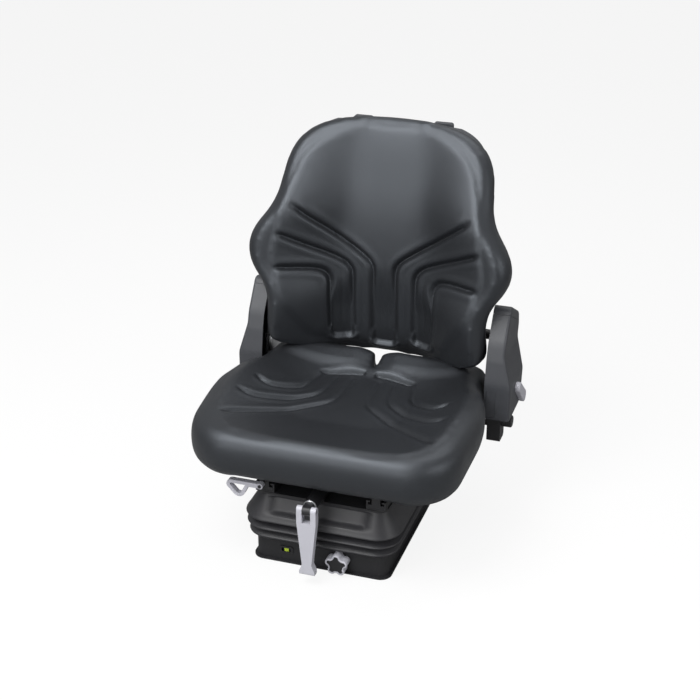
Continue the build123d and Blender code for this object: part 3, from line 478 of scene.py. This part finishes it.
def eased(piece, rounds, group=""):
    """Relaxes a piece's mesh, or one group of its points."""
    ease = piece.modifiers.new("ease", "SMOOTH")
    ease.factor = EASE_FACTOR
    ease.iterations = rounds
    ease.vertex_group = group
    return settle(piece)


def step_between(value, low, high):
    share = np.clip((value - low) / (high - low), 0, 1)
    return share * share * (3 - 2 * share)


def band(value, limits, base=0.0):
    """Rises from 0 to 1 across a band given in millimetres from a base."""
    return step_between(value, base + limits[0] * MM, base + limits[1] * MM)


def rounded_path(points, rounds=3):
    """A path with its corners cut several times, ends kept, in metres."""
    path = np.array(points, float) * MM
    for _ in range(rounds):
        near = path[:-1] * 0.75 + path[1:] * 0.25
        far = path[:-1] * 0.25 + path[1:] * 0.75
        between = np.stack((near, far), 1).reshape(-1, path.shape[1])
        path = np.vstack((path[:1], between[1:-1], path[-1:]))
    return path


def along_path(places, path):
    """Distance of each place from a path, and the share of the path's length at its nearest point."""
    spans = np.diff(path, axis=0)
    lengths = np.linalg.norm(spans, axis=1)
    starts = np.concatenate(([0], np.cumsum(lengths)))
    distance = np.full(len(places), np.inf)
    share = np.zeros(len(places))
    for start, span, length, run in zip(path[:-1], spans, lengths, starts):
        part = np.clip((places - start) @ span / length ** 2, 0, 1)
        gap = np.linalg.norm(places - start - part[:, None] * span, axis=1)
        closer = gap < distance
        distance[closer] = gap[closer]
        share[closer] = (run + part[closer] * length) / starts[-1]
    return distance, share


def foam_body(node, name, sizes):
    """A cushion's body: the solid's form drawn in, remeshed, swollen by its foam and relaxed."""
    mesh = frame["nodes"][node].data.copy()
    mesh.name = name
    mesh.materials.clear()
    form = bmesh.new()
    form.from_mesh(mesh)
    bmesh.ops.remove_doubles(form, verts=form.verts, dist=WELD_DISTANCE)
    form.to_mesh(mesh)
    form.free()
    piece = new_piece(name, mesh)
    remesh = piece.modifiers.new("even", "REMESH")
    remesh.mode = "VOXEL"
    remesh.voxel_size = sizes.voxel
    settle(piece)
    eased(piece, EASE_BEFORE)
    push_out(piece.data, -sizes.swell / 2)
    swell(piece, sizes)
    eased(piece, EASE_AFTER)
    push_out(piece.data, sizes.swell / 2 + sizes.restore)
    divide = piece.modifiers.new("divide", "SUBSURF")
    divide.levels = divide.render_levels = 1
    settle(piece)
    return piece


def push_out(mesh, distance):
    """Moves every point of a mesh outwards."""
    set_points(mesh, points_of(mesh) + normals_of(mesh) * distance)


def swell(piece, sizes):
    """Lets the foam press the vinyl outwards, each point by no more than the swell."""
    scene = bpy.context.scene
    start = points_of(piece.data)
    outwards = normals_of(piece.data)
    cloth = piece.modifiers.new("foam", "CLOTH")
    cloth.settings.use_pressure = True
    cloth.settings.uniform_pressure_force = sizes.pressure
    cloth.settings.effector_weights.gravity = 0.0
    cloth.settings.quality = 4
    cloth.point_cache.frame_start = 1
    cloth.point_cache.frame_end = sizes.frames
    for step in range(1, sizes.frames + 1):
        scene.frame_set(step)
    settle(piece)
    moved = ((points_of(piece.data) - start) * outwards).sum(axis=1)
    set_points(piece.data, start + outwards * np.clip(moved, 0, sizes.swell)[:, None])
    scene.frame_set(1)


def press_grooves(places, paths, depth, width, fade_start, fade_end):
    """How deep each place is pressed in by grooves that fade at both ends, and how far its lips rise."""
    pressed = np.zeros(len(places))
    raised = np.zeros(len(places))
    for path in paths:
        distance, share = along_path(places, path)
        taper = step_between(share, 0, fade_start) * (1 - fade_end * step_between(share, *GROOVE_FADE))
        taper *= 1 - step_between(share, GROOVE_FOOT, 1)
        wall = np.clip(1 - distance / width, 0, 1) ** WALL_CURVE
        lip = np.exp(-((distance - LIP_PLACE * width) / (LIP_WIDTH * width)) ** 2)
        pressed = np.maximum(pressed, depth * taper * wall)
        raised = np.maximum(raised, LIP_HEIGHT * depth * taper * lip)
    return pressed, raised


def mirrored(paths):
    return [path for p in paths for path in (p, p * (-1, 1))]


def dress_cushion(piece, pressed, raised, facing, deepest):
    """Presses the grooves into a cushion where it faces the sitter, and keeps their depth for the finish,
    which paints shade into them and makes them duller.
    """
    mesh = piece.data
    normals = normals_of(mesh)
    shown = step_between(normals @ np.array(facing), *SITTER_FACING)
    moved = (raised - pressed) * shown
    set_points(mesh, points_of(mesh) + normals * moved[:, None])
    # Groove depth for the finish: it drives the painted shade in the grooves and their higher roughness.
    crease = mesh.attributes.new("crease", "FLOAT", "POINT")
    crease.data.foreach_set("value", np.clip(pressed * shown / deepest, 0, 1).astype(np.float32))
    mesh.materials.append(finish_of("vinyl"))
    smooth_shaded(mesh)


def ring_points(half_x, half_y, corner, steps):
    """A rounded rectangle, anticlockwise seen from above."""
    found = []
    for sign_x, sign_y, start in ((1, 1, 0), (-1, 1, 90), (-1, -1, 180), (1, -1, 270)):
        for step in range(steps + 1):
            turn = math.radians(start + 90 * step / steps)
            found.append((
                sign_x * (half_x - corner) + corner * math.cos(turn),
                sign_y * (half_y - corner) + corner * math.sin(turn),
            ))
    return np.array(found)


def divided_ring_at(ring, parts):
    """A rounded rectangle whose four straight sides are each divided in so many parts."""
    quarter = len(ring) // 4
    found = []
    for side in range(4):
        arc = ring[side * quarter:(side + 1) * quarter]
        found.extend(arc)
        a, b = arc[-1], ring[((side + 1) * quarter) % len(ring)]
        found.extend(a + (b - a) * k / parts for k in range(1, parts))
    return np.array(found)


def shell_mesh(name, outer, inner):
    """A closed shell between two stacks of rings."""
    rings = np.concatenate((outer, inner[::-1]))
    rows, count = rings.shape[:2]
    quads = []
    for row in range(rows):
        above = (row + 1) % rows
        for k in range(count):
            after = (k + 1) % count
            quads.append((row * count + k, row * count + after, above * count + after, above * count + k))
    mesh = bpy.data.meshes.new(name)
    mesh.from_pydata(rings.reshape(-1, 3).tolist(), [], quads)
    mesh.validate()
    smooth_shaded(mesh)
    return mesh


# Operators

class SEAT_OT_finishes(bpy.types.Operator):
    """Makes the finishes and gives each rigid piece its own"""
    bl_idname = "seat.finishes"
    bl_label = "Finishes"

    def execute(self, context):
        finishes = make_finishes(context.scene.seat_colours)
        context.scene["finish_names"] = {slot: material.name for slot, material in finishes.items()}
        for subpart in frame["record"]["subparts"]:
            piece = frame["nodes"][subpart["node"]]
            if not piece.material_slots:
                piece.data.materials.append(None)
            for place in piece.material_slots:
                place.material = finishes[subpart["material_slot"]]
        return {"FINISHED"}


class SEAT_OT_backrest_cushion(bpy.types.Operator):
    """Makes the grooved backrest cushion"""
    bl_idname = "seat.backrest_cushion"
    bl_label = "Backrest cushion"

    def execute(self, context):
        sizes = context.scene.seat_cushions
        piece = foam_body("backrest_cushion", "moulded_backrest", sizes)
        low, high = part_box("backrest_cushion")
        crest = piece.vertex_groups.new(name="crest")
        near_top = np.flatnonzero(points_of(piece.data)[:, 2] > high.z - CREST_BAND * MM)
        crest.add(near_top.tolist(), 1.0, "REPLACE")
        eased(piece, EASE_CREST, "crest")
        points = points_of(piece.data)
        hem = 1 - band(points[:, 2], HEM_HEIGHT, low.z)
        wide = np.abs(points[:, 0])
        points[:, 2] -= sizes.hem_drop * hem * band(wide, HEM_INNER)
        set_points(piece.data, points)
        places = points[:, (0, 2)]
        paths = mirrored([rounded_path(p) for p in BACKREST_GROOVES])
        pressed, raised = press_grooves(
            places, paths, sizes.backrest_groove, sizes.groove_width, fade_start=0.09, fade_end=0.3)
        for middle, half, foot, head in BACKREST_CHANNELS:
            corner = CHANNEL_CORNER * MM
            across = np.abs(places[:, 0] - middle * MM) - (half * MM - corner)
            down = foot * MM + corner - places[:, 1]
            outside = np.hypot(np.maximum(across, 0), np.maximum(down, 0)) - corner
            inside = 1 - band(outside, CHANNEL_WALL)
            fade = 1 - band(places[:, 1], (foot + CHANNEL_FADE, head))
            pressed = np.maximum(pressed, sizes.channel_depth * inside * fade)
            near_foot = 1 - band(places[:, 1], (foot, foot + CHANNEL_LIP_BAND))
            lip = np.exp(-((outside - CHANNEL_LIP_PLACE * MM) / (CHANNEL_LIP_WIDTH * MM)) ** 2)
            raised = np.maximum(raised, CHANNEL_LIP_SHARE * sizes.channel_depth * lip * near_foot)
        dress_cushion(piece, pressed, raised, (0, -1, 0), sizes.backrest_groove)
        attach(piece, "backrest")
        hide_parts("backrest_cushion")
        return {"FINISHED"}


class SEAT_OT_seat_cushion(bpy.types.Operator):
    """Makes the grooved seat cushion"""
    bl_idname = "seat.seat_cushion"
    bl_label = "Seat cushion"

    def execute(self, context):
        sizes = context.scene.seat_cushions
        piece = foam_body("seat_cushion", "moulded_seat", sizes)
        points = points_of(piece.data)
        low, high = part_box("seat_cushion")
        wide = np.abs(points[:, 0])
        across = band(wide, PAD_INNER) * (1 - band(wide, PAD_OUTER))
        along = band(points[:, 1], PAD_FRONT)
        upper = band(points[:, 2], PAD_TOP, high.z)
        points[:, 2] += sizes.pad_rise * across * along * upper
        reach = band(points[:, 1], SIDE_FRONT) * (1 - band(points[:, 1], SIDE_REAR))
        upwards = step_between(points[:, 2], low.z, high.z - SIDE_TOP * MM)
        edge = band(wide, SIDE_INNER) * upwards
        points[:, 2] += sizes.side_rise * reach * edge
        points[:, 0] += np.sign(points[:, 0]) * sizes.side_rise * reach * edge
        set_points(piece.data, points)
        places = points[:, :2]
        paths = mirrored([rounded_path(p) for p in SEAT_GROOVES])
        pressed, raised = press_grooves(
            places, paths, sizes.seat_groove, sizes.groove_width, fade_start=0.1, fade_end=0.7)
        steps = mirrored([rounded_path(SEAT_STEP)])
        deeper, lips = press_grooves(
            places, steps, sizes.seat_groove * STEP_SHARE, sizes.groove_width, fade_start=0.2, fade_end=0.0)
        pressed = np.maximum(pressed, deeper)
        raised = np.maximum(raised, lips)
        dress_cushion(piece, pressed, raised, (0, 0, 1), sizes.seat_groove)
        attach(piece, "seat")
        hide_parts("seat_cushion")
        return {"FINISHED"}


class SEAT_OT_bellows(bpy.types.Operator):
    """Makes the pleated rubber bellows"""
    bl_idname = "seat.bellows"
    bl_label = "Bellows"

    # Height above the foot and spread beyond the base's wall, in millimetres
    profile = (
        (0, 7), (4, 12), (7.4, 16.6), (9, 17.3), (10.4, 16.8), (14, 12), (17.6, 7), (18.4, 6.4), (19.2, 7),
        (23, 13.5), (26, 20.2), (27.6, 21.2), (29, 20.6), (33, 13), (36.2, 7), (37, 6.4), (37.8, 7),
        (41, 14), (44.4, 22), (46, 23), (47.6, 22.6), (51, 20), (60, 14.6), (70, 8.6), (80, 2.4), (89, -3),
    )

    def execute(self, context):
        sizes = context.scene.seat_suspension
        low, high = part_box("bellows")
        widest = max(p[1] for p in self.profile) * MM
        wall_x = (high.x - low.x) / 2 - widest
        wall_y = (high.y - low.y) / 2 - widest
        middle = (low + high) / 2
        heights = np.array([p[0] for p in self.profile]) * MM
        spreads = np.array([p[1] for p in self.profile]) * MM
        dense = np.unique(np.concatenate((np.linspace(0, heights[-1], PROFILE_ROWS), heights)))
        spread = np.interp(dense, heights, spreads)
        outer, inner = [], []
        for up, out in zip(dense, spread):
            level = low.z + up
            for rings, inset in ((outer, 0.0), (inner, sizes.bellows_wall)):
                corner = SKIRT_CORNER * MM + out - inset
                ring = ring_points(wall_x + out - inset, wall_y + out - inset, corner, CORNER_STEPS)
                ring = divided_ring_at(ring, SIDE_PARTS)
                front = step_between(-ring[:, 1], wall_y * RECESS_FRONT[0], wall_y * RECESS_FRONT[1])
                field = front * (1 - band(np.abs(ring[:, 0] - middle.x), RECESS_SIDES))
                rise = band(up, RECESS_FOOT) * (1 - band(up, RECESS_HEAD))
                ring[:, 1] += field * rise * sizes.recess
                rings.append(np.column_stack((ring + (middle.x, middle.y), np.full(len(ring), level))))
        mesh = shell_mesh("pleated_bellows", np.array(outer), np.array(inner))
        piece = new_piece("pleated_bellows", mesh)
        piece.data.materials.append(finish_of("rubber"))
        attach(piece, "base")
        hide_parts("bellows")
        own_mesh(piece)
        return {"FINISHED"}


class SEAT_OT_springs(bpy.types.Operator):
    """Winds the two suspension springs"""
    bl_idname = "seat.springs"
    bl_label = "Springs"

    def execute(self, context):
        sizes = context.scene.seat_suspension
        low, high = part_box("springs")
        wire = sizes.spring_wire
        coil = (high.y - low.y - wire) / 2
        apart = (high.x - low.x) - (high.y - low.y)
        tree = bpy.data.node_groups.new("coil_springs", "GeometryNodeTree")
        face = tree.interface
        face.new_socket("Geometry", in_out="OUTPUT", socket_type="NodeSocketGeometry")
        values = {
            "Coil radius": coil, "Wire radius": wire / 2, "Height": high.z - low.z - wire,
            "Turns": sizes.spring_turns, "Apart": apart,
        }
        ids = {
            name: face.new_socket(name, in_out="INPUT", socket_type="NodeSocketFloat").identifier
            for name in values
        }
        made = Finish(tree)
        given = tree.nodes.new("NodeGroupInput")
        size = {name: Wire(made, given.outputs[name]) for name in values}
        coils = made.node("GeometryNodeCurveSpiral", {}, {
            "Resolution": COIL_STEPS, "Rotations": size["Turns"], "Start Radius": size["Coil radius"],
            "End Radius": size["Coil radius"], "Height": size["Height"]})
        section = made.node("GeometryNodeCurvePrimitiveCircle", {"mode": "RADIUS"}, {
            "Resolution": WIRE_SIDES, "Radius": size["Wire radius"]})
        rod = made.node("GeometryNodeCurveToMesh", {}, {
            "Curve": coils, "Profile Curve": section, "Fill Caps": True})
        half = size["Apart"] * -0.5
        first = made.node("ShaderNodeCombineXYZ", {}, {"X": half})
        gap = made.node("ShaderNodeCombineXYZ", {}, {"X": size["Apart"]})
        spots = made.node("GeometryNodeMeshLine", {}, {"Count": 2, "Start Location": first, "Offset": gap})
        pair = made.node("GeometryNodeInstanceOnPoints", {}, {"Points": spots, "Instance": rod})
        whole = made.node("GeometryNodeRealizeInstances", {}, {"Geometry": pair})
        smooth = made.node("GeometryNodeSetShadeSmooth", {}, {"Geometry": whole})
        coated = made.node("GeometryNodeSetMaterial", {}, {
            "Geometry": smooth, "Material": finish_of("black_steel")})
        out = tree.nodes.new("NodeGroupOutput")
        made.feed(out.inputs[0], coated)
        piece = new_piece("coil_springs", bpy.data.meshes.new("coil_springs"))
        nodes = piece.modifiers.new("coils", "NODES")
        nodes.node_group = tree
        for name, value in values.items():
            nodes[ids[name]] = float(value)
        settle(piece)
        piece.data.transform(Matrix.Translation((
            (low.x + high.x) / 2, (low.y + high.y) / 2, low.z + wire / 2)))
        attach(piece, "base")
        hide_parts("springs")
        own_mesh(piece)
        return {"FINISHED"}


class SEAT_OT_back_screws(bpy.types.Operator):
    """Sets hexagon screws with washers in the backrest's shell and frame plate"""
    bl_idname = "seat.back_screws"
    bl_label = "Back screws"

    def execute(self, context):
        seats, facings = [], []
        forwards = Vector((0, -1, 0))
        for node, spots in BACK_SCREWS:
            mesh = frame["nodes"][node].data
            corners = [v.co for v in mesh.vertices]
            surface = BVHTree.FromPolygons(corners, [tuple(p.vertices) for p in mesh.polygons])
            for x, z in spots:
                for side in (-1, 1):
                    start = Vector((side * x * MM, SCREW_START, z * MM))
                    spot, facing, _, _ = surface.ray_cast(start, forwards)
                    if spot is None:
                        raise RuntimeError(f"no surface for a screw on {node}")
                    seats.append(spot)
                    facings.append(facing)
        mesh = bpy.data.meshes.new("back_screws")
        mesh.from_pydata(seats, [], [])
        facing = mesh.attributes.new("facing", "FLOAT_VECTOR", "POINT")
        facing.data.foreach_set("vector", np.array(facings, np.float32).ravel())
        piece = new_piece("back_screws", mesh)
        head = context.scene.seat_suspension.screw_head
        values = {"Head width": head, "Head height": head * HEAD_HEIGHT, "Washer width": head * WASHER_WIDTH}
        screw_nodes(piece, values)
        settle(piece)
        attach(piece, "backrest")
        return {"FINISHED"}


def screw_nodes(piece, values):
    """Puts a hexagon head on a washer at each point of a piece, along the way the point faces."""
    tree = bpy.data.node_groups.new("hexagon_screws", "GeometryNodeTree")
    face = tree.interface
    face.new_socket("Geometry", in_out="OUTPUT", socket_type="NodeSocketGeometry")
    face.new_socket("Geometry", in_out="INPUT", socket_type="NodeSocketGeometry")
    ids = {
        name: face.new_socket(name, in_out="INPUT", socket_type="NodeSocketFloat").identifier
        for name in values
    }
    made = Finish(tree)
    given = tree.nodes.new("NodeGroupInput")
    size = {name: Wire(made, given.outputs[name]) for name in ("Geometry", *values)}
    thin = size["Head height"] * WASHER_HEIGHT
    washer = made.node("GeometryNodeMeshCylinder", {}, {
        "Vertices": WASHER_SIDES, "Radius": size["Washer width"] * 0.5, "Depth": thin})
    head = made.node("GeometryNodeMeshCylinder", {}, {
        "Vertices": HEAD_SIDES, "Radius": size["Head width"] * 0.5, "Depth": size["Head height"]})
    crown = made.node("GeometryNodeMeshCylinder", {}, {
        "Vertices": CROWN_SIDES, "Radius": size["Head width"] * CROWN_RADIUS,
        "Depth": size["Head height"] * CROWN_HEIGHT})
    up = made.node("ShaderNodeCombineXYZ", {}, {"Z": size["Head height"] * 0.5 + thin * 0.5})
    raised = made.node("GeometryNodeTransform", {}, {"Geometry": head, "Translation": up})
    crowned = made.node("GeometryNodeTransform", {}, {"Geometry": crown, "Translation": up})
    whole = tree.nodes.new("GeometryNodeJoinGeometry")
    for part in (washer, raised, crowned):
        made.feed(whole.inputs[0], part)
    facing = made.node("GeometryNodeInputNamedAttribute", {"data_type": "FLOAT_VECTOR"}, {"Name": "facing"})
    turned = made.node("FunctionNodeAlignRotationToVector", {"axis": "Z"}, {"Vector": facing})
    set_in = made.node("GeometryNodeInstanceOnPoints", {}, {
        "Points": size["Geometry"], "Instance": Wire(made, whole.outputs[0]), "Rotation": turned})
    plain = made.node("GeometryNodeRealizeInstances", {}, {"Geometry": set_in})
    coated = made.node("GeometryNodeSetMaterial", {}, {
        "Geometry": plain, "Material": finish_of("black_steel")})
    out = tree.nodes.new("NodeGroupOutput")
    made.feed(out.inputs[0], coated)
    nodes = piece.modifiers.new("screws", "NODES")
    nodes.node_group = tree
    for name, value in values.items():
        nodes[ids[name]] = float(value)


class SEAT_OT_stage(bpy.types.Operator):
    """Sets the pale floor, the soft studio light and the camera"""
    bl_idname = "seat.stage"
    bl_label = "Stage"

    def execute(self, context):
        scene = context.scene
        settings = scene.seat_studio
        scene.view_settings.view_transform = "Standard"
        mesh = bpy.data.meshes.new("floor")
        corners = [(x * FLOOR_REACH, y * FLOOR_REACH, 0) for x, y in ((-1, -1), (1, -1), (1, 1), (-1, 1))]
        mesh.from_pydata(corners, [], [(0, 1, 2, 3)])
        floor = new_piece("floor", mesh)
        mesh.materials.append(floor_finish(settings.floor))
        light_world(scene, settings.sky)
        for name, power, place, width in LAMPS:
            lamp(name, place, width, getattr(settings, power))
        turn = math.radians(CAMERA_TURN)
        tilt = math.radians(CAMERA_TILT)
        view = bpy.data.cameras.new("photo_view")
        view.sensor_width = SENSOR_WIDTH
        view.lens = settings.lens
        camera = new_piece("photo_view", view)
        ahead = Vector((-math.sin(turn) * math.cos(tilt), math.cos(turn) * math.cos(tilt), -math.sin(tilt)))
        camera.location = CAMERA_PLACE
        camera.rotation_euler = ahead.to_track_quat("-Z", "Y").to_euler()
        scene.camera = camera
        return {"FINISHED"}


def floor_finish(colour):
    """A pale floor that looks white to the camera and keeps the seat's shadow."""
    material = bpy.data.materials.new("pale_floor")
    material.use_nodes = True
    tree = material.node_tree
    tree.nodes.clear()
    finish = Finish(tree)
    speckle = finish.noise(40.0, 3.0)
    pale = finish.mix(speckle * 0.3, tuple(colour), shaded(colour, 0.97))
    seen = finish.node("ShaderNodeLightPath", output="Is Camera Ray")
    matt = finish.node(
        "ShaderNodeBsdfDiffuse", {}, {"Color": finish.mix(seen, shaded(colour, FLOOR_SHADE), pale)})
    white = finish.node("ShaderNodeEmission", {}, {"Color": (1, 1, 1, 1), "Strength": 1.0})
    both = finish.node("ShaderNodeMixShader", {}, {0: seen * FLOOR_GLOW, 1: matt, 2: white})
    out = tree.nodes.new("ShaderNodeOutputMaterial")
    finish.feed(out.inputs["Surface"], both)
    return material


def light_world(scene, strength):
    """An even sky: white where it is seen and through glass, dimmer in gloss, and softer as light."""
    world = bpy.data.worlds.new("studio")
    world.use_nodes = True
    tree = world.node_tree
    tree.nodes.clear()
    finish = Finish(tree)
    seen = finish.node("ShaderNodeLightPath", output="Is Camera Ray")
    gloss = finish.node("ShaderNodeLightPath", output="Is Glossy Ray")
    through = finish.node("ShaderNodeLightPath", output="Is Transmission Ray")
    shown = finish.node("ShaderNodeClamp", {}, {"Value": seen + gloss * SKY_GLOSS + through})
    sky = finish.node("ShaderNodeBackground", {}, {
        "Color": (1, 1, 1, 1), "Strength": strength + shown * (1 - strength)})
    out = tree.nodes.new("ShaderNodeOutputWorld")
    finish.feed(out.inputs["Surface"], sky)
    scene.world = world


def lamp(name, place, size, power):
    """A square soft light that faces the seat."""
    light = bpy.data.lights.new(name, "AREA")
    light.size = size
    light.energy = power
    piece = new_piece(name, light)
    aim = Vector(LAMP_AIM) - Vector(place)
    piece.location = place
    piece.visible_camera = False
    piece.rotation_euler = aim.to_track_quat("-Z", "Y").to_euler()


class SEAT_PT_pieces(bpy.types.Panel):
    """Lists the seat's pieces"""
    bl_idname = "SEAT_PT_pieces"
    bl_label = "Operator seat"
    bl_space_type = "VIEW_3D"
    bl_region_type = "UI"
    bl_category = "Seat"

    def draw(self, context):
        for made in PIECES:
            self.layout.operator(made.bl_idname)
        for group in GROUPS:
            settings = getattr(context.scene, group)
            for name in settings.__annotations__:
                self.layout.prop(settings, name)


PIECES = (
    SEAT_OT_finishes, SEAT_OT_backrest_cushion, SEAT_OT_seat_cushion, SEAT_OT_bellows, SEAT_OT_springs,
    SEAT_OT_back_screws, SEAT_OT_stage,
)
GROUPS = {
    "seat_cushions": CushionSizes,
    "seat_suspension": SuspensionSizes,
    "seat_colours": SeatColours,
    "seat_studio": StudioSettings,
}
CLASSES = (*GROUPS.values(), *PIECES, SEAT_PT_pieces)


def register():
    for made in CLASSES:
        bpy.utils.register_class(made)
    for name, group in GROUPS.items():
        setattr(bpy.types.Scene, name, PointerProperty(type=group))


def unregister():
    for name in GROUPS:
        delattr(bpy.types.Scene, name)
    for made in reversed(CLASSES):
        bpy.utils.unregister_class(made)


def main():
    register()
    for made in PIECES:
        family, name = made.bl_idname.split(".")
        getattr(getattr(bpy.ops, family), name)()


if __name__ == "__main__":
    main()
